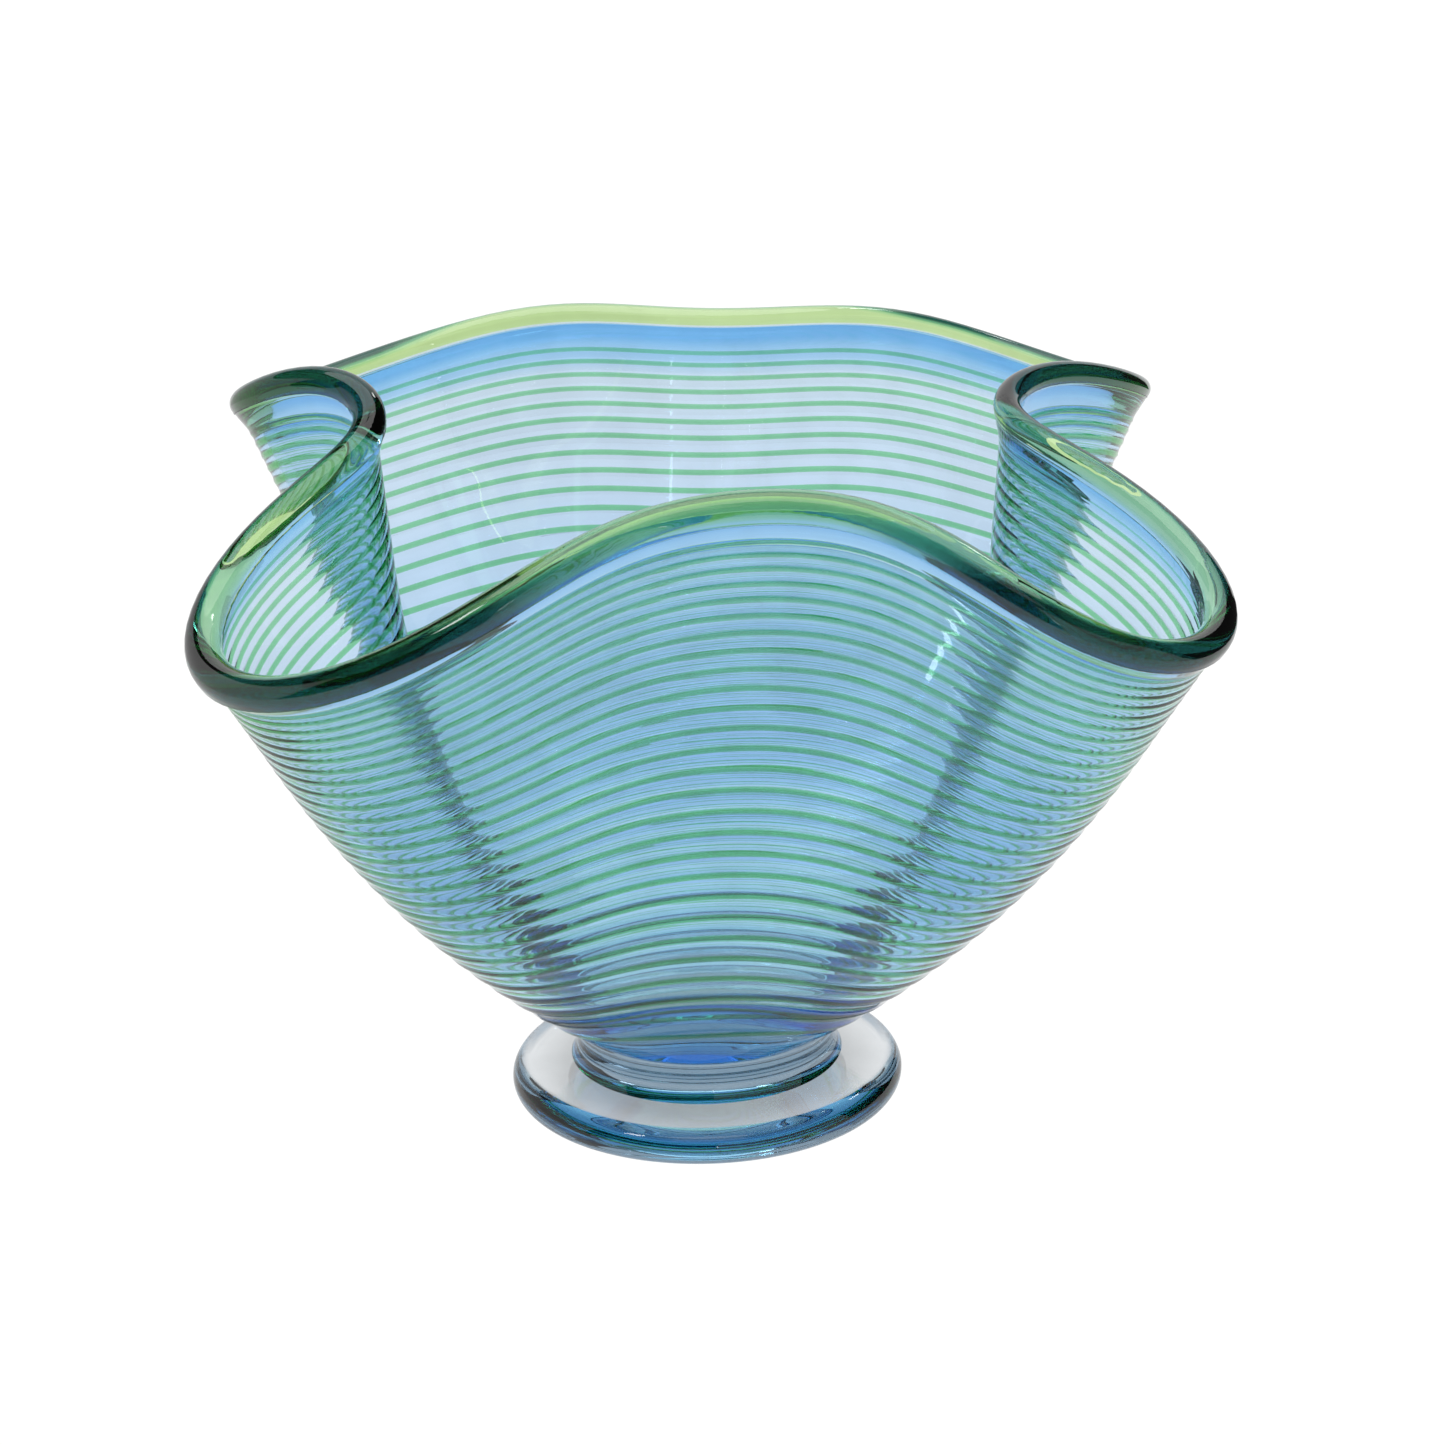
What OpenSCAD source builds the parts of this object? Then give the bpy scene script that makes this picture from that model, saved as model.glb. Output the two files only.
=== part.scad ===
// Footed art glass bowl with a four-fold ruffled rim.
// A thin blue wall stands on a clear collar and foot. One green thread winds round it from
// base to lip, and a thick green wrap finishes the lip. The origin is the middle of the
// foot's underside, on the table, and +Z points up through the bowl. Sizes are millimetres.

/* [Bowl] */
// Mean distance from the axis to the middle of the lip
rim_r = 119; // [105:0.5:145]
// Mean height of the middle of the lip above the table
rim_z = 182; // [150:0.5:220]
// Radius of the bowl where it stands on the collar
base_r = 38; // [32:0.5:46]
// Thickness of the wall from the middle up to just below the lip
wall_t = 2.8; // [2.4:0.1:5]
// Thickness of the wall just above the base
base_wall_t = 5; // [4:0.1:9]
// Thickness of glass under the middle of the bowl's inside
floor_t = 5; // [4:0.1:9]
// Angle above level at which the wall leaves the base
base_angle = 45; // [35:1:55]
// How far the wall keeps that angle, as a share of its slant height
base_pull = 0.49; // [0.35:0.01:0.55]
// Angle above level at which the wall reaches the lip
rim_angle = 78; // [65:1:90]
// How far down from the lip it keeps that angle, as a share of its slant height
rim_pull = 0.16; // [0.1:0.01:0.3]

/* [Folds] */
// Half the difference in radius between a lobe and the fold beside it
fold_depth = 29.5; // [18:0.5:36]
// Half the difference in height between a fold and the lobe beside it
fold_lift = 14; // [5:0.5:20]
// How far the lobes and folds are flattened in plan
fold_square = 0.5; // [0:0.5:4]
// How far the lip dips to both sides of each fold and lobe
fold_dip = 3; // [0:0.5:5]
// How far the middles of the lobes swell sideways, in degrees
lobe_swell = 1.8; // [0:0.1:4]
// How far the sides of the lobes draw together, in degrees
lobe_draw = 1; // [0:0.1:3]
// How quickly the folds open above the base
fold_growth = 1.36; // [1.2:0.02:1.6]
// How quickly the lip's rise and fall appears above the base
lift_growth = 1.1; // [1.06:0.02:1.6]

/* [Hand shaping] */
// The rim's centre off the axis, along X and along Y
lean = [8.5, -4]; // [-10:0.5:10]
// Oval stretch of the rim, straight and on the diagonal
oval = [-6.5, -1]; // [-10:0.5:10]
// Three-cornered stretch of the rim, straight and turned
corner = [-8.5, -0.5]; // [-10:0.5:10]
// Tilt of the rim, up along X and up along Y
tilt = [0.5, 4.5]; // [-6:0.5:6]
// Twofold rise of the rim, straight and on the diagonal
rise = [-2, -6.5]; // [-8:0.5:8]
// Threefold rise of the rim, straight and turned
wave = [-0.5, 7.5]; // [-8:0.5:8]
// Twofold shift of the folds round the rim in degrees, straight and on the diagonal
shift_two = [-1.4, -7]; // [-8:0.2:8]
// Threefold shift of the folds round the rim in degrees, straight and turned
shift_three = [1.6, 5.6]; // [-8:0.2:8]

/* [Lip] */
// Mean thickness of the wrap round the lip
lip_d = 8.4; // [7:0.1:12]
// How much thicker the wrap gets along X and along Y
lip_uneven = [-0.8, -1.4]; // [-1.5:0.1:1.5]
// How far the wrap reaches past each face of the wall's thickened edge
lip_grip = 0.5; // [0.4:0.1:1.6]
// How far the wall's edge stops short of the wrap's middle
lip_gap = 1.2; // [0.8:0.1:1.2]

/* [Thread] */
// Turns of thread from the base to the lip
thread_turns = 27; // [20:1:27]
// Width of the thread at the base
thread_w_base = 2.1; // [1.6:0.1:2.6]
// Width of the thread at the lip
thread_w_rim = 1.2; // [0.8:0.1:1.6]
// How far the thread stands proud of the wall
thread_proud = 0.3; // [0.2:0.05:0.6]
// How deep the thread is sunk in the wall
thread_depth = 1.2; // [0.8:0.1:2]
// Share of the wall's height at which the thread starts
thread_low = 0.035; // [0.03:0.005:0.08]
// Share of the wall's height at which the thread ends
thread_high = 0.93; // [0.85:0.01:0.93]
// How much closer the turns lie towards the lip
thread_crowd = 0.12; // [0:0.02:0.3]

/* [Collar] */
// Height of the clear collar between bowl and foot
collar_h = 12; // [8:0.5:18]
// Radius of the collar at its waist
collar_r = 35.3; // [28:0.1:36]
// How far the collar widens from its waist to its ends
collar_flare = 1.8; // [1:0.1:3]

/* [Foot] */
// Radius of the foot
foot_r = 53.5; // [48:0.5:65]
// Thickness of the foot's rounded edge
foot_t = 10.4; // [8:0.1:14]
// How far the foot's top rises from its edge to the collar
foot_rise = 1.2; // [0.5:0.1:3]
// Radius of the ground hollow under the foot
hollow_r = 32; // [20:0.5:36]
// Depth of that hollow
hollow_h = 2.4; // [1:0.1:4]

/* [Hidden] */

// Facets round the bowl, up its wall, across its floor and round the lip's section
steps_round = 72;
steps_up = 20;
steps_floor = 4;
steps_lip = 11;
exact_fn = 96;

// Highest share of the wall's height that is plain wall, below the lip
wall_top = 0.945;
// Share of the wall's height from which it thickens towards the lip
swell_from = 0.9;
// Share of the wall's height at which the floor's curve runs into the wall
floor_join = 0.14;
// How steeply the wall's extra thickness at the base fades with height
base_fade = 5;
// Share of the wall's height from which it leans out to meet the lip's middle
flare_from = 0.7;
// How far the floor runs level, and how far it keeps the wall's slope, as shares of its reach
floor_flat = 0.5;
floor_run = 0.25;
// Half the step used to read the slope
slope_step = 0.02;
// Share of a turn over which the thread tapers at each end, and its width and depth at the tips
taper = 0.15;
tip_width = 0.3;
tip_depth = 0.5;
// How far the steps round the bowl crowd into its lobes and folds, in degrees
step_crowd = 2.3;

foot_top = foot_t + foot_rise;
collar_end_r = collar_r + collar_flare;
base_z = foot_top + collar_h;
floor_z = base_z + floor_t;
slant = norm([rim_r - base_r, rim_z - base_z]);

function unit(v) = v / norm(v);
function clamp(x) = min(max(x, 0), 1);
function ease(x) = let (c = clamp(x)) c * c * (3 - 2 * c);
function blend(a, b, x) = a + (b - a) * x;
function polar(r, a, z) = [r * cos(a), r * sin(a), z];

// A pair of wave heights read at an angle: the first with the cosine, the second with the sine
function wave_at(pair, times, a) = pair[0] * cos(times * a) + pair[1] * sin(times * a);

// A cubic curve through its first and last point
function curve(p, u) =
    let (v = 1 - u)
    v * v * v * p[0] + 3 * u * v * v * p[1] + 3 * u * u * v * p[2] + u * u * u * p[3];

// The wall's mean outline: radius and height at a share u of the way up
outline = [
    [base_r, base_z],
    [base_r, base_z] + slant * base_pull * [cos(base_angle), sin(base_angle)],
    [rim_r, rim_z] - slant * rim_pull * [cos(rim_angle), sin(rim_angle)],
    [rim_r, rim_z],
];

// What folding and hand shaping add to the lip at angle a: radius, bearing and height
function fold_r(a) = fold_square * cos(8 * a) - fold_depth * cos(4 * a)
    + wave_at(lean, 1, a) + wave_at(oval, 2, a) + wave_at(corner, 3, a);
function fold_z(a) = fold_lift * cos(4 * a) - fold_dip * cos(8 * a)
    + wave_at(tilt, 1, a) + wave_at(rise, 2, a) + wave_at(wave, 3, a);
function fold_a(a) = lobe_swell * sin(8 * a) - lobe_draw * sin(4 * a)
    + wave_at(shift_two, 2, a) + wave_at(shift_three, 3, a);

// The bowl's shaped surface: u runs from base to lip and a runs round the bowl
function skin(u, a) =
    let (p = curve(outline, u))
    let (grow = 1 - pow(1 - u, fold_growth))
    let (lift = 1 - pow(1 - u, lift_growth))
    polar(p[0] + grow * fold_r(a), a + grow * fold_a(a), p[1] + lift * fold_z(a));

function up_wall(u, a) =
    unit(skin(min(u + slope_step, 1), a) - skin(max(u - slope_step, 0), a));
function round_wall(u, a) = unit(skin(u, a + 1) - skin(u, a - 1));
function out_of_wall(u, a) = unit(cross(round_wall(u, a), up_wall(u, a)));

// The wrap's radius, half the wall's thickness inside it, and how far below the wrap's
// middle the wall's faces pass into it
function lip_r(a) = (lip_d + wave_at(lip_uneven, 1, a)) / 2;
function edge_half(a) = lip_r(a) - lip_grip;
function lip_entry(a) = sqrt(pow(lip_r(a), 2) - pow(edge_half(a), 2));

// The wall's thickness, and how far its outside moves out to bring the wall under the lip
function thickness(u, a) =
    let (plain = blend(wall_t, base_wall_t, pow(1 - u, base_fade)))
    blend(plain, 2 * edge_half(a), ease((u - swell_from) / (1 - swell_from)));
function flare(u, a) = thickness(u, a) / 2 * ease((u - flare_from) / (1 - flare_from));

function outside(u, a) = skin(u, a) + out_of_wall(u, a) * flare(u, a);
function inside(u, a) = outside(u, a) - out_of_wall(u, a) * thickness(u, a);

// A place in the lip's section at angle a: out from the wall's middle and up along it
function lip_point(a, out, up) =
    let (along = round_wall(1, a), away = out_of_wall(1, a))
    skin(1, a) + out * away + up * cross(away, along);

// The bearing of a step round the bowl
function bearing_of(step) = let (a = 360 * step / steps_round) a - step_crowd * sin(8 * a);

angles = [for (i = [0:steps_round - 1]) bearing_of(i)];
levels = [for (i = [0:steps_up]) wall_top * i / steps_up];
inner_levels = [for (u = levels) if (u > floor_join) u];

// The rounded floor inside the bowl, from its middle (s = 0) to the wall (s = 1)
function floor_point(s, a) =
    let (edge = inside(floor_join, a))
    let (reach = norm([edge[0], edge[1]]))
    let (bearing = atan2(edge[1], edge[0]))
    curve([
        [0, 0, floor_z],
        polar(reach * floor_flat, bearing, floor_z),
        edge - up_wall(floor_join, a) * reach * floor_run,
        edge,
    ], s);

// Rings of the wall in order: up the outside, over the edge, down the inside, over the floor
wall_rings = concat(
    [for (u = levels) [for (a = angles) outside(u, a)]],
    [[for (a = angles) lip_point(a, edge_half(a), -lip_entry(a))]],
    [[for (a = angles) lip_point(a, edge_half(a), -lip_gap)]],
    [[for (a = angles) lip_point(a, -edge_half(a), -lip_gap)]],
    [[for (a = angles) lip_point(a, -edge_half(a), -lip_entry(a))]],
    [for (i = [len(inner_levels) - 1:-1:0]) [for (a = angles) inside(inner_levels[i], a)]],
    [for (i = [steps_floor:-1:1]) [for (a = angles) floor_point(i / steps_floor, a)]]
);

function flat_list(rings) = [for (ring = rings) each ring];

// Triangles between ring i and ring j of n points each
function band(i, j, n) = [
    for (k = [0:n - 1])
    let (m = (k + 1) % n)
    each [[i * n + k, j * n + k, j * n + m], [i * n + k, j * n + m, i * n + m]]
];

module bowl_wall() {
    n = steps_round;
    last = len(wall_rings) - 1;
    low_pole = n * len(wall_rings);
    high_pole = low_pole + 1;
    points = concat(flat_list(wall_rings), [[0, 0, base_z], [0, 0, floor_z]]);
    faces = concat(
        [for (k = [0:n - 1]) [low_pole, k, (k + 1) % n]],
        [for (i = [0:last - 1]) each band(i, i + 1, n)],
        [for (k = [0:n - 1]) [high_pole, last * n + (k + 1) % n, last * n + k]]
    );
    color("lightskyblue", 0.6) polyhedron(points, faces, convexity = 8);
}

// The lip wrap's section: a round bead with a slot that the wall's edge fills
function lip_section(a) =
    let (half = edge_half(a))
    let (start = atan2(-lip_entry(a), half))
    let (sweep = 180 - 2 * start)
    concat(
        [for (k = [0:steps_lip])
            let (turn = start + sweep * k / steps_lip)
            lip_point(a, lip_r(a) * cos(turn), lip_r(a) * sin(turn))],
        [lip_point(a, -half, -lip_gap), lip_point(a, half, -lip_gap)]
    );

module lip_wrap() {
    n = steps_lip + 3;
    rings = [for (a = angles) lip_section(a)];
    faces = [for (i = [0:steps_round - 1]) each band(i, (i + 1) % steps_round, n)];
    color("yellowgreen", 0.8) polyhedron(flat_list(rings), faces, convexity = 8);
}

// The thread's place up the wall after a share s of its turns, and its width there
function thread_level(s) = blend(thread_low, thread_high, s + thread_crowd * s * (1 - s));
function thread_width(u) = blend(thread_w_base, thread_w_rim, u * u);

function thread_section(step, steps) =
    let (s = step / steps)
    let (u = thread_level(s), a = bearing_of(step))
    let (away = out_of_wall(u, a))
    let (side = unit(cross(away, round_wall(u, a))))
    let (end = ease(min(step, steps - step) / (taper * steps_round)))
    let (half = thread_width(u) / 2 * blend(tip_width, 1, end))
    let (middle = outside(u, a))
    [
        middle + away * thread_proud + side * half,
        middle + away * thread_proud - side * half,
        middle - away * thread_depth * blend(tip_depth, 1, end),
    ];

module spiral_thread() {
    steps = thread_turns * steps_round;
    rings = [for (step = [0:steps]) thread_section(step, steps)];
    faces = concat(
        [[0, 1, 2]],
        [for (i = [0:steps - 1]) each band(i, i + 1, 3)],
        [[3 * steps + 2, 3 * steps + 1, 3 * steps]]
    );
    color("seagreen") polyhedron(flat_list(rings), faces, convexity = 12);
}

// The collar's side is a hollow arc between its two flared ends
module collar() {
    arc_r = (collar_h * collar_h / 4 + collar_flare * collar_flare) / (2 * collar_flare);
    color("aliceblue", 0.5) translate([0, 0, foot_top])
        rotate_extrude($fn = exact_fn) difference() {
            square([collar_end_r, collar_h]);
            translate([collar_r + arc_r, collar_h / 2]) circle(r = arc_r, $fn = exact_fn);
        }
}

module foot() {
    edge_r = foot_t / 2;
    dome_r = (hollow_r * hollow_r + hollow_h * hollow_h) / (2 * hollow_h);
    color("lightgray", 0.5) difference() {
        union() {
            cylinder(r = foot_r - edge_r, h = foot_t, $fn = exact_fn);
            translate([0, 0, edge_r]) rotate_extrude($fn = exact_fn)
                translate([foot_r - edge_r, 0]) circle(r = edge_r, $fn = exact_fn);
            translate([0, 0, foot_t])
                cylinder(r1 = foot_r - edge_r, r2 = collar_end_r, h = foot_rise, $fn = exact_fn);
        }
        translate([0, 0, hollow_h - dome_r]) sphere(r = dome_r, $fn = exact_fn);
    }
}

bowl_wall();
spiral_thread();
lip_wrap();
collar();
foot();
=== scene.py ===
"""Footed art glass bowl with a four-fold ruffled rim: its glass, its light and its camera.

The collar, foot and heights come from the CAD frame. The bowl's fold shape repeats the
design values of the part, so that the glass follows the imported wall, thread and lip.
"""
import math

import bmesh
import bpy
import numpy as np
from mathutils import Matrix, Vector


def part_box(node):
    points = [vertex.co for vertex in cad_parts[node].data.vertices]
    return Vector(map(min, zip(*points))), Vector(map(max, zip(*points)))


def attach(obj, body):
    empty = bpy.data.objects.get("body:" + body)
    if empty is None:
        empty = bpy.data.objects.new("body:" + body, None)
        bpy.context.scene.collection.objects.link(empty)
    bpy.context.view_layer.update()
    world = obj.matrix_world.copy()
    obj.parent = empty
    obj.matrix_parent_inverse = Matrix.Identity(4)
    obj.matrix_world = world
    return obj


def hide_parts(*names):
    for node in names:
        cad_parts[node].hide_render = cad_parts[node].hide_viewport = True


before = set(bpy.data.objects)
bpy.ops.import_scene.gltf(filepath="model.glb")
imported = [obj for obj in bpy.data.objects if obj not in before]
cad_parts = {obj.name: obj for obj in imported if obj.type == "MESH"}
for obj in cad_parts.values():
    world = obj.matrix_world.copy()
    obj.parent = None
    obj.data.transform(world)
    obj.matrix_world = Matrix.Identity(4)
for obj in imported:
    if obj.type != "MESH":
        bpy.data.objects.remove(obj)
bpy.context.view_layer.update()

MM = 0.001

# ---------------------------------------------------------------- design values, millimetres
RIM_R, RIM_Z = 119.0, 182.0
BASE_R = 38.0
WALL_T, BASE_WALL_T, FLOOR_T = 2.8, 5.0, 5.0
BASE_FADE, FLARE_FROM, SWELL_FROM = 5, 0.7, 0.9
BASE_ANGLE, BASE_PULL = 45.0, 0.49
RIM_ANGLE, RIM_PULL = 78.0, 0.16

FOLD_DEPTH, FOLD_LIFT, FOLD_SQUARE, FOLD_DIP = 29.5, 14.0, 0.5, 3.0
LOBE_SWELL, LOBE_DRAW = 1.8, 1.0
FOLD_GROWTH, LIFT_GROWTH = 1.36, 1.1
LEAN, OVAL, CORNER = (8.5, -4), (-6.5, -1), (-8.5, -0.5)
TILT, RISE, WAVE = (0.5, 4.5), (-2, -6.5), (-0.5, 7.5)
SHIFT_TWO, SHIFT_THREE = (-1.4, -7), (1.6, 5.6)

LIP_D, LIP_UNEVEN = 8.4, (-0.8, -1.4)
LIP_GRIP, LIP_GAP = 0.5, 1.2
THREAD_TURNS = 27
THREAD_W_BASE, THREAD_W_RIM = 2.1, 1.2
THREAD_LOW, THREAD_HIGH, THREAD_CROWD = 0.035, 0.93, 0.12
THREAD_TAPER = 0.15
FLOOR_JOIN, FLOOR_FLAT, FLOOR_RUN = 0.14, 0.5, 0.25
STEP_CROWD = 2.3

# Heights and radii that the frame gives
FOOT_LOW, FOOT_HIGH = (Vector(v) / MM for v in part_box("foot"))
COLLAR_LOW, COLLAR_HIGH = (Vector(v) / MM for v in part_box("collar"))
FOOT_R = FOOT_HIGH.x
FOOT_TOP = COLLAR_LOW.z
BASE_Z = COLLAR_HIGH.z
COLLAR_END_R = COLLAR_HIGH.x
FLOOR_Z = BASE_Z + FLOOR_T

# More design values: the collar's waist, and the foot's slope and hollow
COLLAR_FLARE = 1.8
FOOT_RISE = 1.2
HOLLOW_R, HOLLOW_H = 32.0, 2.4

# Fineness of the meshes: steps, rows and corners
ROUND = 240
TURNED_ROUND = 180
ROWS_PER_TURN = 10
LIP_CORNERS = 28
THREAD_CORNERS = 8

# Shares of the wall's height: where its plain rings end, and the reach of a slope's ends
WALL_TOP = 0.975
SLOPE_STEP = 0.02

# Gaps in millimetres between fused faces, and between the lip and its CAD shape
JOINT_GAP = 0.02
LIP_INSET = 0.15


# ---------------------------------------------------------------- the bowl's folded surface
def cosd(a):
    return np.cos(np.radians(a))


def sind(a):
    return np.sin(np.radians(a))


def unit(v):
    return v / np.linalg.norm(v, axis=-1, keepdims=True)


def ease(x):
    x = np.clip(x, 0, 1)
    return x * x * (3 - 2 * x)


def blend(a, b, x):
    return a + (b - a) * x


def wave_at(pair, times, a):
    return pair[0] * cosd(times * a) + pair[1] * sind(times * a)


def polar(r, a, z):
    return np.stack([r * cosd(a), r * sind(a), z + 0 * r], -1)


SLANT = math.hypot(RIM_R - BASE_R, RIM_Z - BASE_Z)
OUTLINE = (
    (BASE_R, BASE_Z),
    (BASE_R + SLANT * BASE_PULL * cosd(BASE_ANGLE), BASE_Z + SLANT * BASE_PULL * sind(BASE_ANGLE)),
    (RIM_R - SLANT * RIM_PULL * cosd(RIM_ANGLE), RIM_Z - SLANT * RIM_PULL * sind(RIM_ANGLE)),
    (RIM_R, RIM_Z),
)


def outline(u, axis):
    """Radius (axis 0) or height (axis 1) of the wall's mean outline at a share u of its way up."""
    v = 1 - u
    p = [point[axis] for point in OUTLINE]
    return v**3 * p[0] + 3 * u * v * v * p[1] + 3 * u * u * v * p[2] + u**3 * p[3]


def fold_r(a):
    main = FOLD_SQUARE * cosd(8 * a) - FOLD_DEPTH * cosd(4 * a)
    return main + wave_at(LEAN, 1, a) + wave_at(OVAL, 2, a) + wave_at(CORNER, 3, a)


def fold_z(a):
    main = FOLD_LIFT * cosd(4 * a) - FOLD_DIP * cosd(8 * a)
    return main + wave_at(TILT, 1, a) + wave_at(RISE, 2, a) + wave_at(WAVE, 3, a)


def fold_a(a):
    main = LOBE_SWELL * sind(8 * a) - LOBE_DRAW * sind(4 * a)
    return main + wave_at(SHIFT_TWO, 2, a) + wave_at(SHIFT_THREE, 3, a)


def skin(u, a):
    """The bowl's shaped surface: u runs from base to lip and a, in degrees, round the bowl."""
    grow = 1 - (1 - u) ** FOLD_GROWTH
    lift = 1 - (1 - u) ** LIFT_GROWTH
    return polar(
        outline(u, 0) + grow * fold_r(a),
        a + grow * fold_a(a),
        outline(u, 1) + lift * fold_z(a),
    )


def up_wall(u, a):
    return unit(skin(np.minimum(u + SLOPE_STEP, 1), a) - skin(np.maximum(u - SLOPE_STEP, 0), a))


def round_wall(u, a):
    return unit(skin(u, a + 1) - skin(u, a - 1))


def out_of_wall(u, a):
    return unit(np.cross(round_wall(u, a), up_wall(u, a)))


def lip_r(a):
    return (LIP_D + wave_at(LIP_UNEVEN, 1, a)) / 2


def edge_half(a):
    """Half the thickness of the wall's edge inside the lip."""
    return lip_r(a) - LIP_GRIP


def lip_entry(a):
    """How far below the lip's middle the wall's faces pass into the wrap."""
    return np.sqrt(lip_r(a) ** 2 - edge_half(a) ** 2)


def thickness(u, a):
    plain = blend(WALL_T, BASE_WALL_T, (1 - u) ** BASE_FADE)
    return blend(plain, 2 * edge_half(a), ease((u - SWELL_FROM) / (1 - SWELL_FROM)))


def outside(u, a):
    flare = thickness(u, a) / 2 * ease((u - FLARE_FROM) / (1 - FLARE_FROM))
    return skin(u, a) + out_of_wall(u, a) * flare[..., None]


def inside(u, a):
    return outside(u, a) - out_of_wall(u, a) * thickness(u, a)[..., None]


def lip_point(a, out, up):
    """A place in the lip's section: out from the wall's middle and up along the wall."""
    one = np.ones_like(a)
    along, away = round_wall(one, a), out_of_wall(one, a)
    rise = np.cross(away, along)
    return skin(one, a) + (out * one)[..., None] * away + (up * one)[..., None] * rise


# ---------------------------------------------------------------- the thread's path
def thread_share(u):
    """Share of the thread's turns wound below a share u of the wall's height."""
    x = np.clip((u - THREAD_LOW) / (THREAD_HIGH - THREAD_LOW), 0, 1)
    k = THREAD_CROWD
    return ((1 + k) - np.sqrt((1 + k) ** 2 - 4 * k * x)) / (2 * k)


def thread_level(s):
    return blend(THREAD_LOW, THREAD_HIGH, s + THREAD_CROWD * s * (1 - s))


def thread_width(u):
    return blend(THREAD_W_BASE, THREAD_W_RIM, u * u)


# Height of the wall's ridge over the thread at base and lip, and the share over which it fades
RIDGE_BASE, RIDGE_RIM = 0.34, 0.2
RIDGE_END = 0.01


def ridge_height(u):
    return blend(RIDGE_BASE, RIDGE_RIM, u)


def ridge(u, a):
    """How far the wall's outside swells over the thread."""
    turn = THREAD_TURNS * thread_share(u) - a / 360
    start = ease((u - THREAD_LOW + RIDGE_END) / (2 * RIDGE_END))
    ends = start * ease((THREAD_HIGH + RIDGE_END - u) / (2 * RIDGE_END))
    return ridge_height(u) * ends * (0.5 + 0.5 * np.cos(2 * np.pi * turn)) ** 2


# ---------------------------------------------------------------- mesh building
def bearing(a):
    """Crowds even steps round the bowl into its lobes and folds."""
    return a - STEP_CROWD * sind(8 * a)


def finish(bm, name, replaces, material):
    """Makes the piece's object and ties it to the frame."""
    bmesh.ops.recalc_face_normals(bm, faces=bm.faces)
    if bm.calc_volume(signed=True) < 0:
        bmesh.ops.reverse_faces(bm, faces=bm.faces)
    for face in bm.faces:
        face.smooth = True
    mesh = bpy.data.meshes.new(name)
    bm.to_mesh(mesh)
    bm.free()
    mesh.materials.append(material)
    piece = bpy.data.objects.new(name, mesh)
    bpy.context.scene.collection.objects.link(piece)
    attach(piece, "root")
    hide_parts(replaces)
    return piece


def sleeve(stations, around, capped):
    """A straight sleeve of unit radius, its stations one apart along Z, to be shaped later."""
    bm = bmesh.new()
    line = [bm.verts.new((1, 0, k)) for k in range(stations)]
    for low, high in zip(line, line[1:]):
        bm.edges.new((low, high))
    bmesh.ops.spin(
        bm,
        geom=bm.verts[:] + bm.edges[:],
        cent=(0, 0, 0),
        axis=(0, 0, 1),
        angle=math.tau,
        steps=around,
        use_merge=True,
        use_duplicate=False,
    )
    if capped:
        for end in (0, stations - 1):
            ring = [v for v in bm.verts if round(v.co.z) == end]
            bmesh.ops.pointmerge(bm, verts=ring, merge_co=(0, 0, end))
    return bm


def ring_of_rings(section, around):
    """A ring with a round section of that many corners, to be shaped later."""
    bm = bmesh.new()
    turn = Matrix.Translation((2, 0, 0)) @ Matrix.Rotation(math.pi / 2, 4, "X")
    bmesh.ops.create_circle(bm, cap_ends=False, segments=section, radius=1, matrix=turn)
    bmesh.ops.spin(
        bm,
        geom=bm.verts[:] + bm.edges[:],
        cent=(0, 0, 0),
        axis=(0, 0, 1),
        angle=math.tau,
        steps=around,
        use_merge=True,
        use_duplicate=False,
    )
    return bm


def reshape(bm, shape):
    """Moves every vertex to shape(places), both as arrays of x, y, z."""
    places = np.array([v.co[:] for v in bm.verts])
    for v, place in zip(bm.verts, shape(places) * MM):
        v.co = place


def mark_joint(bm, is_joint):
    """Marks the faces that are fused to another piece, and keeps their borders crisp."""
    layer = bm.faces.layers.float.new("joint")
    for face in bm.faces:
        face[layer] = float(is_joint(face))
    for edge in bm.edges:
        sides = [face[layer] for face in edge.link_faces]
        edge.smooth = len(set(sides)) == 1


# ---------------------------------------------------------------- materials
def new_material(name):
    material = bpy.data.materials.new(name)
    material.use_nodes = True
    nodes = material.node_tree.nodes
    nodes.clear()
    return material, nodes, material.node_tree.links


def blown_glass_group():
    """Node group: the soft waviness and the faint streaks that blowing leaves in glass."""
    group = bpy.data.node_groups.new("blown_glass", "ShaderNodeTree")
    face = group.interface
    wave = face.new_socket("Wave Size", in_out="INPUT", socket_type="NodeSocketFloat")
    wave.default_value = 40.0
    streak = face.new_socket("Streak Size", in_out="INPUT", socket_type="NodeSocketFloat")
    streak.default_value = 90.0
    face.new_socket("Height", in_out="OUTPUT", socket_type="NodeSocketFloat")
    face.new_socket("Streaks", in_out="OUTPUT", socket_type="NodeSocketFloat")
    nodes, links = group.nodes, group.links
    given = nodes.new("NodeGroupInput")
    result = nodes.new("NodeGroupOutput")
    place = nodes.new("ShaderNodeTexCoord")
    waves = nodes.new("ShaderNodeTexNoise")
    waves.inputs["Detail"].default_value = 1.0
    streaks = nodes.new("ShaderNodeTexNoise")
    streaks.inputs["Detail"].default_value = 2.0
    links.new(place.outputs["Object"], waves.inputs["Vector"])
    links.new(place.outputs["Object"], streaks.inputs["Vector"])
    links.new(given.outputs["Wave Size"], waves.inputs["Scale"])
    links.new(given.outputs["Streak Size"], streaks.inputs["Scale"])
    links.new(waves.outputs["Fac"], result.inputs["Height"])
    links.new(streaks.outputs["Fac"], result.inputs["Streaks"])
    return group


BLOWN = blown_glass_group()
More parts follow.
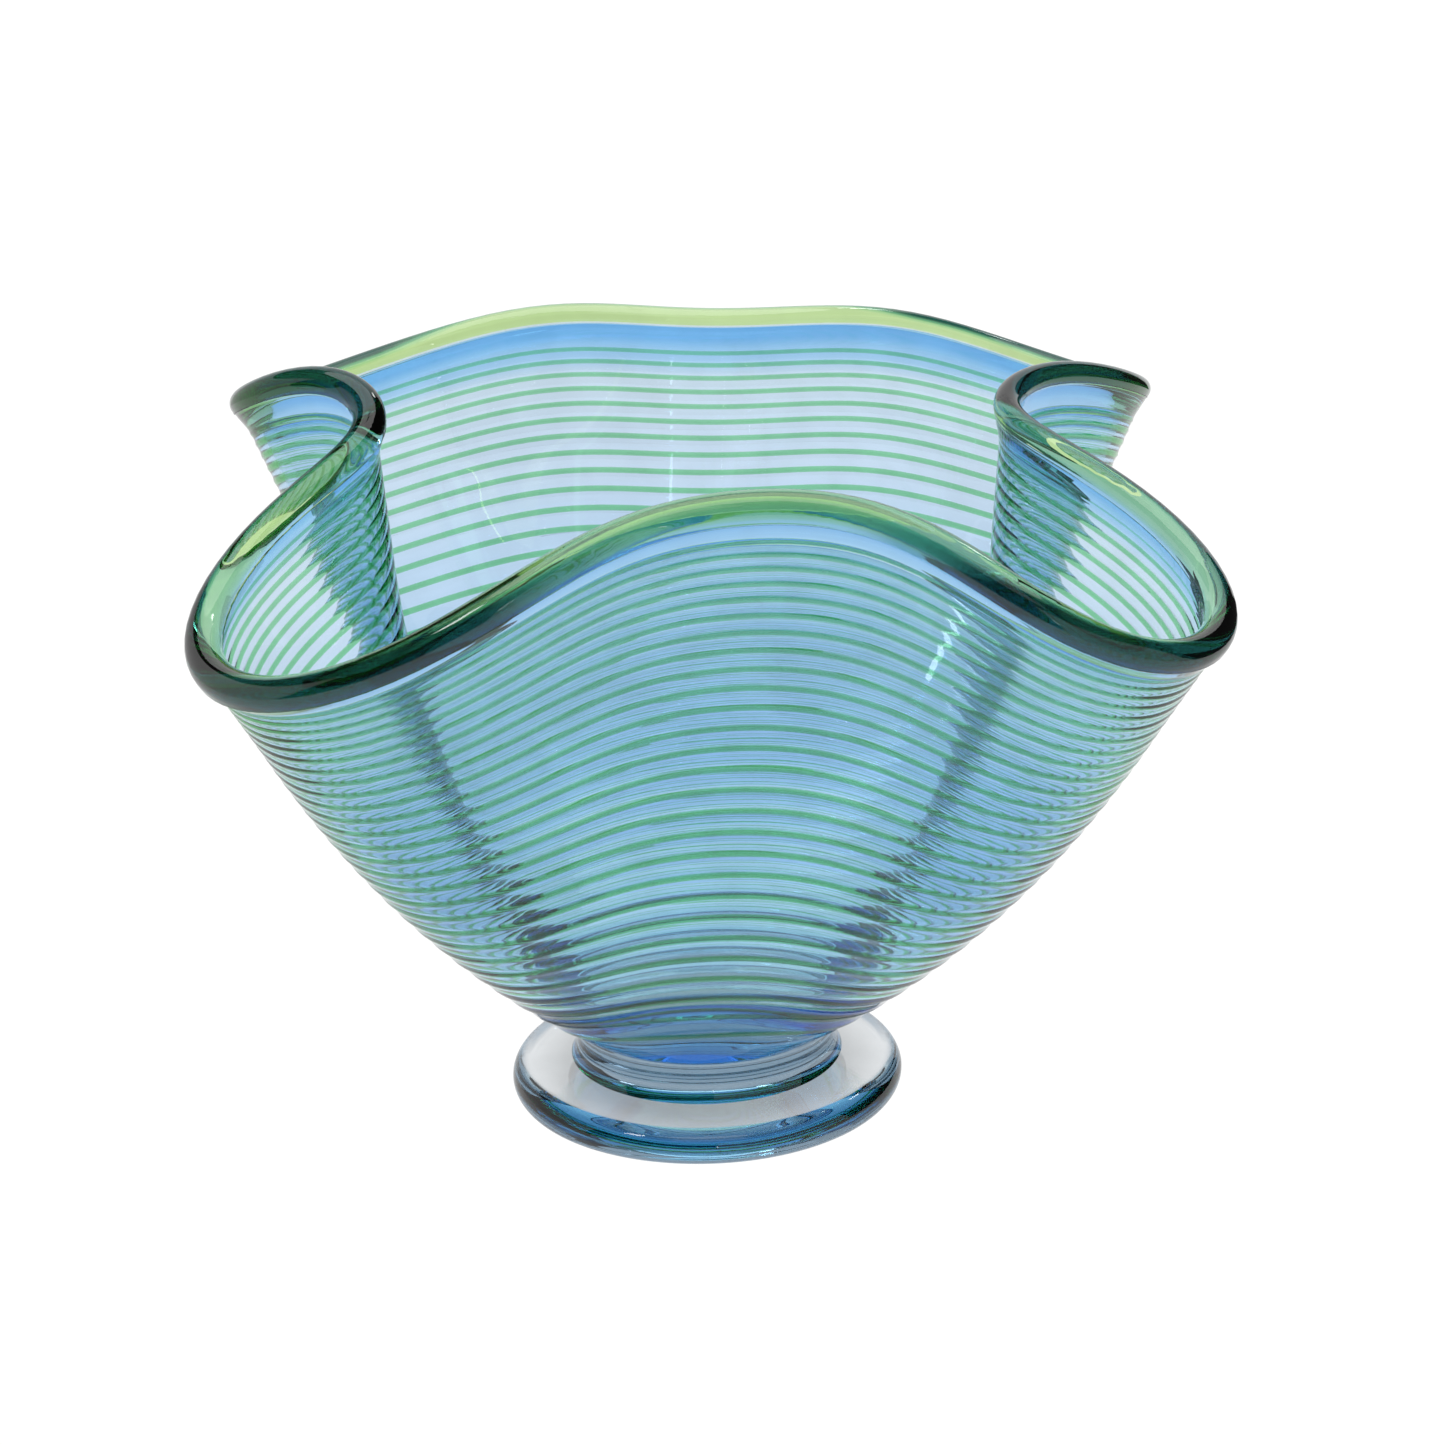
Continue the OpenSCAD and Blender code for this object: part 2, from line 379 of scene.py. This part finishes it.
# How bright the faint streaks are against the glass round them
STREAK_SHADE = 0.95


def glass(
    name,
    tint,
    density,
    absorbed,
    wave_depth=0.05,
    tint_stops=None,
    one_way=False,
    ior=1.5,
    shine=0.5,
):
    """Clear coloured glass: a surface tint, a depth colour, waviness and fused joint faces.

    tint_stops gives the tint along the piece's share attribute: the wall's height share, and
    painted shade on the lip, collar and foot. A one-way tint colours only what is seen going in,
    and not what leaves at the far side.
    """
    material, nodes, links = new_material(name)
    shader = nodes.new("ShaderNodeBsdfPrincipled")
    shader.inputs["Transmission Weight"].default_value = 1.0
    shader.inputs["Roughness"].default_value = 0.0
    shader.inputs["IOR"].default_value = ior
    shader.inputs["Specular IOR Level"].default_value = shine
    body = nodes.new("ShaderNodeVolumeAbsorption")
    body.inputs["Color"].default_value = (*absorbed, 1)
    body.inputs["Density"].default_value = density
    out = nodes.new("ShaderNodeOutputMaterial")
    links.new(shader.outputs["BSDF"], out.inputs["Surface"])
    links.new(body.outputs["Volume"], out.inputs["Volume"])
    blown = nodes.new("ShaderNodeGroup")
    blown.node_tree = BLOWN
    if wave_depth:
        bump = nodes.new("ShaderNodeBump")
        bump.inputs["Strength"].default_value = 1.0
        bump.inputs["Distance"].default_value = wave_depth * MM
        links.new(blown.outputs["Height"], bump.inputs["Height"])
        links.new(bump.outputs["Normal"], shader.inputs["Normal"])
    streaky = nodes.new("ShaderNodeValToRGB")
    streaky.color_ramp.elements[0].position = 0.35
    streaky.color_ramp.elements[0].color = (*(STREAK_SHADE * part for part in tint), 1)
    streaky.color_ramp.elements[1].position = 0.62
    streaky.color_ramp.elements[1].color = (*tint, 1)
    links.new(blown.outputs["Streaks"], streaky.inputs["Fac"])
    colour = streaky.outputs["Color"]
    if tint_stops:
        share = nodes.new("ShaderNodeAttribute")
        share.attribute_name = "share"
        ramp = nodes.new("ShaderNodeValToRGB")
        ramp.color_ramp.interpolation = "EASE"
        while len(ramp.color_ramp.elements) < len(tint_stops):
            ramp.color_ramp.elements.new(0.5)
        for element, (at, stop) in zip(ramp.color_ramp.elements, tint_stops):
            element.position = at
            element.color = (*stop, 1)
        level = share.outputs["Fac"]
        if one_way:
            side = nodes.new("ShaderNodeNewGeometry")
            going_in = nodes.new("ShaderNodeMapRange")
            going_in.inputs["To Min"].default_value = 1.0
            going_in.inputs["To Max"].default_value = 0.0
            entering = nodes.new("ShaderNodeMath")
            entering.operation = "MULTIPLY"
            links.new(side.outputs["Backfacing"], going_in.inputs["Value"])
            links.new(going_in.outputs["Result"], entering.inputs[0])
            links.new(level, entering.inputs[1])
            level = entering.outputs["Value"]
        links.new(level, ramp.inputs["Fac"])
        both = nodes.new("ShaderNodeMix")
        both.data_type = "RGBA"
        both.blend_type = "MULTIPLY"
        both.inputs["Factor"].default_value = 1.0
        links.new(ramp.outputs["Color"], both.inputs["A"])
        links.new(colour, both.inputs["B"])
        colour = both.outputs["Result"]
    links.new(colour, shader.inputs["Base Color"])
    joint = nodes.new("ShaderNodeAttribute")
    joint.attribute_name = "joint"
    open_face = nodes.new("ShaderNodeMath")
    open_face.operation = "SUBTRACT"
    open_face.inputs[0].default_value = 1.0
    links.new(joint.outputs["Fac"], open_face.inputs[1])
    links.new(open_face.outputs["Value"], shader.inputs["Alpha"])
    return material


# Keeps every part of an absorption's colour above nought
DENSITY_MARGIN = 1.02


def depth_colour(per_mm):
    """Density and colour of an absorption that takes these shares of red, green and blue."""
    density = max(per_mm) / MM * DENSITY_MARGIN
    return density, tuple(1 - share / MM / density for share in per_mm)


BLUE_DENSITY, BLUE_DEPTH = depth_colour((0.055, 0.024, 0.006))
BLUE = glass(
    "blue_glass",
    (1, 1, 1),
    BLUE_DENSITY,
    BLUE_DEPTH,
    tint_stops=(
        (0.0, (0.95, 1.0, 0.86)),
        (0.12, (0.78, 0.92, 0.98)),
        (0.26, (0.57, 0.76, 0.94)),
        (0.40, (0.53, 0.72, 0.93)),
        (0.54, (0.66, 0.82, 1.0)),
        (0.70, (0.76, 0.87, 1.0)),
        (0.86, (0.79, 0.90, 1.0)),
        (0.935, (0.44, 0.72, 1.0)),
        (0.98, (0.24, 0.56, 0.95)),
    ),
)
GREEN_DENSITY, GREEN_DEPTH = depth_colour((0.85, 0.20, 0.80))
GREEN = glass("green_glass", (1, 1, 1), GREEN_DENSITY, GREEN_DEPTH, wave_depth=0, ior=1.0)
LIME_DENSITY, LIME_DEPTH = depth_colour((0.075, 0.030, 0.13))
LIME = glass(
    "lime_glass",
    (1, 1, 1),
    LIME_DENSITY,
    LIME_DEPTH,
    wave_depth=0.03,
    # Along the painted shade the lip's tint darkens from pale lime to near black
    tint_stops=(
        (0.0, (1.0, 1.0, 0.95)),
        (0.4, (0.50, 0.80, 0.74)),
        (0.7, (0.08, 0.32, 0.34)),
        (1.0, (0.001, 0.018, 0.035)),
    ),
    one_way=True,
    ior=1.54,
    shine=1.0,
)
CLEAR_DENSITY, CLEAR_DEPTH = depth_colour((0.004, 0.002, 0.0015))
CLEAR = glass(
    "clear_glass",
    (0.97, 0.98, 1.0),
    CLEAR_DENSITY,
    CLEAR_DEPTH,
    wave_depth=0.06,
    # The tint darkens towards blue-grey with the painted shade of the collar and the foot's edge
    tint_stops=((0.0, (1.0, 1.0, 1.0)), (1.0, (0.25, 0.34, 0.44))),
)


# ---------------------------------------------------------------- pieces
def wall_stations():
    """The wall's rings in order, from the middle of its base out, up, over and down inside."""
    rise = (THREAD_HIGH - THREAD_LOW) / (THREAD_TURNS * ROWS_PER_TURN)
    shares = np.linspace(0, 1, THREAD_TURNS * ROWS_PER_TURN + 1)
    up = np.concatenate(
        [
            np.linspace(0, THREAD_LOW - rise, 8),
            thread_level(shares),
            np.linspace(THREAD_HIGH + RIDGE_END, WALL_TOP, 5),
        ]
    )
    down = np.linspace(WALL_TOP, FLOOR_JOIN, 100)
    floor = np.linspace(1, 0, 16)[1:]
    rings = [("base", 0.0), ("base", COLLAR_END_R)]
    rings += [("out", u) for u in up]
    rings += [("lip_out", 1), ("lip_out", 0), ("lip_in", 0), ("lip_in", 1)]
    rings += [("in", u) for u in down]
    rings += [("floor", s) for s in floor]
    return rings


def wall_place(kind, value, a):
    at = np.full_like(a, value)
    if kind == "base":
        return polar(at, a, BASE_Z)
    if kind == "out":
        return outside(at, a) + out_of_wall(at, a) * ridge(at, a)[..., None]
    if kind.startswith("lip"):
        side = 1 if kind == "lip_out" else -1
        return lip_point(a, side * edge_half(a), -blend(LIP_GAP, lip_entry(a), value))
    if kind == "in":
        return inside(at, a)
    join = np.full_like(a, FLOOR_JOIN)
    edge = inside(join, a)
    reach = np.linalg.norm(edge[:, :2], axis=1)
    angle = np.degrees(np.arctan2(edge[:, 1], edge[:, 0]))
    middle = polar(0 * reach, angle, FLOOR_Z)
    out = polar(reach * FLOOR_FLAT, angle, FLOOR_Z)
    lean_in = edge - up_wall(join, a) * (reach * FLOOR_RUN)[:, None]
    s, v = value, 1 - value
    return v**3 * middle + 3 * s * v * v * out + 3 * s * s * v * lean_in + s**3 * edge


# Scales how much lower the blue band under the lip starts at the back than at the front
BAND_SHIFT = 0.02


def build_wall():
    rings = wall_stations()
    bm = sleeve(len(rings), ROUND, capped=True)
    share = bm.verts.layers.float.new("share")
    joint_rings = {k for k, (kind, value) in enumerate(rings) if kind.startswith("lip")}
    bottom = {0, 1}
    for v in bm.verts:
        kind, value = rings[round(v.co.z)]
        if kind in ("out", "in"):
            a = math.degrees(math.atan2(v.co.y, v.co.x))
            v[share] = value + BAND_SHIFT * (0.3 + sind(a)) * ease((value - 0.7) / 0.2)
        else:
            v[share] = 1.0 if kind.startswith("lip") else 0.0

    def is_joint(face):
        at = {round(v.co.z) for v in face.verts}
        return at <= joint_rings or at <= bottom

    mark_joint(bm, is_joint)

    def shape(places):
        a = bearing(np.degrees(np.arctan2(places[:, 1], places[:, 0])) % 360)
        station = np.round(places[:, 2]).astype(int)
        result = np.zeros_like(places)
        for k, (kind, value) in enumerate(rings):
            here = station == k
            result[here] = wall_place(kind, value, a[here])
        return result

    reshape(bm, shape)
    return finish(bm, "wall_glass", "bowl_wall", BLUE)


# Turn in degrees over which the lip's painted shade fades, and where its section starts
PAINTED_SHADE_FADE = 45
SECTION_START, SECTION_SWEEP = -30, 240
BACK_SHOULDER_TURN = 6


def lip_painted_shade(a, turn):
    """Painted shade in the lip's colour at a turn round its section, 0 outwards and 90 up.

    It stands for dark surroundings seen through the bead from the front: the outer and lower
    side at the front and lobes, and the upper edge at the back.
    """
    aside = abs(cosd(a))
    if sind(a) < 0:
        strength = blend(0.43, 1, ease((aside - 0.15) / 0.3))
        limit = blend(65, 125, ease((aside - 0.25) / 0.45))
    else:
        shoulder = ease((abs(cosd(a - BACK_SHOULDER_TURN)) - 0.3) / 0.2)
        strength = blend(0.6, 1, shoulder)
        limit = blend(128, 178, shoulder)
    return float(strength * ease((limit - turn) / PAINTED_SHADE_FADE))


def build_lip():
    """A round bead with a slot in its underside that the wall's edge fills."""
    arc = LIP_CORNERS
    section = arc + 3
    bm = ring_of_rings(section, ROUND)

    def corner_of(x, y, z):
        turn = np.arctan2(z, np.hypot(x, y) - 2) / math.tau
        return np.round(turn * section).astype(int) % section

    slot = {0, arc, arc + 1, arc + 2}

    def is_joint(face):
        at = {int(corner_of(*v.co)) for v in face.verts}
        return at <= slot

    mark_joint(bm, is_joint)
    # Every vertex carries the lip's painted shade, which stands for dark surroundings seen through
    # the bead
    painted_shade = bm.verts.layers.float.new("share")
    for v in bm.verts:
        a = float(bearing(math.degrees(math.atan2(v.co.y, v.co.x)) % 360))
        round_section = min(int(corner_of(*v.co)) / arc, 1)
        v[painted_shade] = lip_painted_shade(a, SECTION_START + SECTION_SWEEP * round_section)

    def shape(places):
        x, y, z = places.T
        a = bearing(np.degrees(np.arctan2(y, x)) % 360)
        corner = corner_of(x, y, z)
        half = edge_half(a) + JOINT_GAP
        start = np.arctan2(-lip_entry(a), edge_half(a))
        turn = start + (math.pi - 2 * start) * corner / arc
        radius = lip_r(a) - LIP_INSET
        out, up = radius * np.cos(turn), radius * np.sin(turn)
        out = np.where(corner == 0, half, np.where(corner == arc, -half, out))
        deep = corner > arc
        up = np.where(deep, JOINT_GAP - LIP_GAP, up)
        out = np.where(corner == arc + 1, -half, np.where(corner == arc + 2, half, out))
        return lip_point(a, out, up)

    reshape(bm, shape)
    return finish(bm, "lip_glass", "lip_wrap", LIME)


# Glass over the thread in millimetres, its depth as a share of its width, how square its
# section is, and the shares of its width and depth that are left at the tips
THREAD_COVER, THREAD_DEEP, THREAD_SQUARE = 0.08, 0.33, 0.5
TIP_WIDTH, TIP_DEPTH = 0.25, 0.4


def build_thread():
    """The thread as coloured glass just under the wall's ridge, winding from base to lip."""
    steps = THREAD_TURNS * ROUND
    bm = sleeve(steps + 3, THREAD_CORNERS, capped=True)

    def shape(places):
        station = np.clip(np.round(places[:, 2]) - 1, 0, steps)
        s = station / steps
        u = thread_level(s)
        even = station % ROUND * 360 / ROUND
        a = bearing(even)
        away = out_of_wall(u, a)
        side = unit(np.cross(away, round_wall(u, a)))
        end = ease(np.minimum(station, steps - station) / (THREAD_TAPER * ROUND))
        width = thread_width(u) / 2 * blend(TIP_WIDTH, 1, end)
        deep = thread_width(u) * THREAD_DEEP * blend(TIP_DEPTH, 1, end)
        top = outside(u, a) + away * (ridge(u, a) - THREAD_COVER)[:, None]
        x, y = (np.sign(p) * np.abs(p) ** THREAD_SQUARE for p in np.round(places[:, :2].T, 6))
        middle = top - away * deep[:, None]
        return middle + away * (deep * x)[:, None] + side * (width * y)[:, None]

    reshape(bm, shape)
    return finish(bm, "thread_glass", "spiral_thread", GREEN)


def turned(points, name, replaces, material, is_joint, painted_shade_at):
    """Spins an outline of (radius, height) points that starts and ends on the axis.

    The last argument gives how much painted shade shows at a radius: it stands for dark
    surroundings seen through the clear glass.
    """
    bm = bmesh.new()
    line = [bm.verts.new((r * MM, 0, z * MM)) for r, z in points]
    for low, high in zip(line, line[1:]):
        bm.edges.new((low, high))
    bmesh.ops.spin(
        bm,
        geom=bm.verts[:] + bm.edges[:],
        cent=(0, 0, 0),
        axis=(0, 0, 1),
        angle=math.tau,
        steps=TURNED_ROUND,
        use_merge=True,
        use_duplicate=False,
    )
    bmesh.ops.remove_doubles(bm, verts=bm.verts, dist=1e-7)
    mark_joint(bm, is_joint)
    # Every vertex carries its painted shade
    painted_shade = bm.verts.layers.float.new("share")
    for v in bm.verts:
        v[painted_shade] = painted_shade_at(math.hypot(v.co.x, v.co.y) / MM)
    return finish(bm, name, replaces, material)


def arc_points(middle, radius, start, end, count):
    return [
        (middle[0] + radius * cosd(a), middle[1] + radius * sind(a))
        for a in np.linspace(start, end, count)
    ]


# How much painted shade the collar shows, and over what part of the foot's rounded edge the
# painted shade comes in; it stands for dark surroundings seen through the clear glass
COLLAR_SHADE = 0.75
EDGE_SHADE_REACH = 0.7


def build_collar():
    low, high = FOOT_TOP + JOINT_GAP, BASE_Z - JOINT_GAP
    half = (high - low) / 2
    radius = (half**2 + COLLAR_FLARE**2) / (2 * COLLAR_FLARE)
    spread = math.degrees(math.asin(half / radius))
    middle = (COLLAR_END_R - COLLAR_FLARE + radius, (low + high) / 2)
    side = arc_points(middle, radius, 180 + spread, 180 - spread, 25)
    points = [(0, low), (COLLAR_END_R / 2, low), *side, (COLLAR_END_R / 2, high), (0, high)]

    def is_joint(face):
        return abs(face.normal.z) > 0.99

    # The collar carries an even painted shade
    return turned(
        points, "collar_glass", "collar", CLEAR, is_joint, lambda r: COLLAR_SHADE
    )


def build_foot():
    edge_r = (FOOT_TOP - FOOT_RISE) / 2
    rim = FOOT_R - edge_r
    dome_r = (HOLLOW_R**2 + HOLLOW_H**2) / (2 * HOLLOW_H)
    hollow = math.degrees(math.asin(HOLLOW_R / dome_r))
    under = arc_points((0, HOLLOW_H - dome_r), dome_r, 90, 90 - hollow, 12)
    edge = arc_points((rim, edge_r), edge_r, -90, 90, 25)
    points = [*under, ((HOLLOW_R + rim) / 2, 0), *edge]
    slope = np.linspace(0, 1, 8)[1:]
    points += [(blend(rim, COLLAR_END_R, s), edge_r * 2 + FOOT_RISE * s * s) for s in slope]
    points += [(COLLAR_END_R / 2, FOOT_TOP), (0, FOOT_TOP)]

    def is_joint(face):
        middle = face.calc_center_median() / MM
        return middle.z > FOOT_TOP - 1e-3 and math.hypot(middle.x, middle.y) < COLLAR_END_R

    # Painted shade on the foot's rounded edge, growing outwards from where the rim starts
    def painted_shade_at(r):
        return float(ease((r - rim) / (edge_r * EDGE_SHADE_REACH)))

    return turned(points, "foot_glass", "foot", CLEAR, is_joint, painted_shade_at)


build_wall()
build_lip()
build_thread()
build_collar()
build_foot()


# ---------------------------------------------------------------- studio
# Metres: the ring that holds the sweeps and lights, and the floor that the glass sees
SWEEP_R = 2.2
FLOOR_R = 0.62
FLOOR_DROP = 0.0002
# Strengths: white to the camera, and the dark room and the floor to the glass
SEEN_WHITE, ROOM, FLOOR_LIGHT, FLOOR_SHADE = 1.05, 0.03, 0.95, 0.55
# The floor's shade fades between these shares of the foot's radius
SHADE_FROM, SHADE_TO = 0.5, 1.12


def glow(name, seen, given, shade=0.0):
    """A white light: seen is its strength to the camera and given its strength to the glass.

    The shade is how much less it gives under the foot.
    """
    material, nodes, links = new_material(name)
    path = nodes.new("ShaderNodeLightPath")
    strength = nodes.new("ShaderNodeMapRange")
    strength.inputs["To Min"].default_value = given
    strength.inputs["To Max"].default_value = seen
    if shade:
        place = nodes.new("ShaderNodeTexCoord")
        reach = nodes.new("ShaderNodeVectorMath")
        reach.operation = "LENGTH"
        under = nodes.new("ShaderNodeMapRange")
        under.interpolation_type = "SMOOTHSTEP"
        under.inputs["From Min"].default_value = FOOT_R * MM * SHADE_FROM
        under.inputs["From Max"].default_value = FOOT_R * MM * SHADE_TO
        under.inputs["To Min"].default_value = given - shade
        under.inputs["To Max"].default_value = given
        links.new(place.outputs["Object"], reach.inputs[0])
        links.new(reach.outputs["Value"], under.inputs["Value"])
        links.new(under.outputs["Result"], strength.inputs["To Min"])
    light = nodes.new("ShaderNodeEmission")
    out = nodes.new("ShaderNodeOutputMaterial")
    links.new(path.outputs["Is Camera Ray"], strength.inputs["Value"])
    links.new(strength.outputs["Result"], light.inputs["Strength"])
    links.new(light.outputs["Emission"], out.inputs["Surface"])
    return material


def add_stage(bm, name, material):
    mesh = bpy.data.meshes.new(name)
    bm.to_mesh(mesh)
    bm.free()
    mesh.materials.append(material)
    sheet = bpy.data.objects.new(name, mesh)
    bpy.context.scene.collection.objects.link(sheet)
    return sheet


def floor_disc():
    bm = bmesh.new()
    bmesh.ops.create_circle(
        bm,
        cap_ends=True,
        segments=96,
        radius=FLOOR_R,
        matrix=Matrix.Translation((0, 0, -FLOOR_DROP)),
    )
    add_stage(bm, "floor", glow("floor_white", SEEN_WHITE, FLOOR_LIGHT, FLOOR_SHADE))


def swept(name, profile, bearing_mid, width, strength):
    """A bent sheet: a profile of (radius, height) points swept round the bowl.

    Bearings go clockwise from +Y in degrees.
    """
    bm = bmesh.new()
    line = [bm.verts.new((0, r, z)) for r, z in profile]
    for below, above in zip(line, line[1:]):
        bm.edges.new((below, above))
    start = Matrix.Rotation(math.radians(-(bearing_mid - width / 2)), 3, "Z")
    bmesh.ops.rotate(bm, verts=bm.verts, cent=(0, 0, 0), matrix=start)
    bmesh.ops.spin(
        bm,
        geom=bm.verts[:] + bm.edges[:],
        cent=(0, 0, 0),
        axis=(0, 0, 1),
        angle=math.radians(-width),
        steps=24,
        use_duplicate=False,
    )
    sheet = add_stage(bm, name, glow(name, strength, strength))
    sheet.visible_camera = False


def dome_arc(low, high):
    """Points up the ring between two elevations in degrees."""
    heights = np.radians(np.linspace(low, high, 9))
    return [(SWEEP_R * math.cos(e), SWEEP_R * math.sin(e)) for e in heights]


def light_panel(name, bearing_mid, width, low, high, strength):
    """A light on the ring, between two elevations in degrees."""
    swept(name, dome_arc(low, high), bearing_mid, width, strength)


def sweep(name, bearing_mid, width, high, strength):
    """White paper that runs out from the floor and up behind the bowl."""
    swept(name, [(FLOOR_R, 0), *dome_arc(0, high)], bearing_mid, width, strength)


floor_disc()
sweep("back_sweep", 0, 64, 60, 0.9)
sweep("left_sweep", -70, 76, 30, 0.7)
sweep("near_sweep", 135, 80, 30, 0.6)
light_panel("near_box", 180, 50, 40, 70, 0.6)
light_panel("near_window", 172, 8, 3, 11, 6.0)
light_panel("top_box", 180, 359, 58, 88, 2.0)
light_panel("left_window", -125, 12, 46, 54, 12.0)
light_panel("far_window", 36, 8, 42, 50, 10.0)

world = bpy.data.worlds.new("studio")
bpy.context.scene.world = world
world.use_nodes = True
world_nodes, world_links = world.node_tree.nodes, world.node_tree.links
backing = world_nodes["Background"]
backing.inputs["Color"].default_value = (1, 1, 1, 1)
sight = world_nodes.new("ShaderNodeLightPath")
bright = world_nodes.new("ShaderNodeMapRange")
bright.inputs["To Min"].default_value = ROOM
bright.inputs["To Max"].default_value = SEEN_WHITE
world_links.new(sight.outputs["Is Camera Ray"], bright.inputs["Value"])
world_links.new(bright.outputs["Result"], backing.inputs["Strength"])


def add_camera():
    """The camera in front of the bowl, in metres, a little above the lip and slightly rolled."""
    distance, elevation, roll = 1.1785, math.radians(20.695), math.radians(-1.589)
    target = Vector((0.0068, 0, 0.1064))
    forward = Vector((0, math.cos(elevation), -math.sin(elevation)))
    right, up = Vector((1, 0, 0)), Vector((0, math.sin(elevation), math.cos(elevation)))
    right, up = (
        right * math.cos(roll) + up * math.sin(roll),
        up * math.cos(roll) - right * math.sin(roll),
    )
    data = bpy.data.cameras.new("camera")
    data.sensor_width = 36.0
    data.lens = 109.8
    camera = bpy.data.objects.new("camera", data)
    turn = Matrix((right, up, -forward)).transposed().to_4x4()
    camera.matrix_world = Matrix.Translation(target - forward * distance) @ turn
    bpy.context.scene.collection.objects.link(camera)
    bpy.context.scene.camera = camera


add_camera()

scene = bpy.context.scene
scene.view_settings.view_transform = "Standard"
scene.cycles.max_bounces = 40
scene.cycles.transmission_bounces = 40
scene.cycles.glossy_bounces = 12
scene.cycles.transparent_max_bounces = 40
scene.cycles.caustics_refractive = True
scene.cycles.caustics_reflective = True
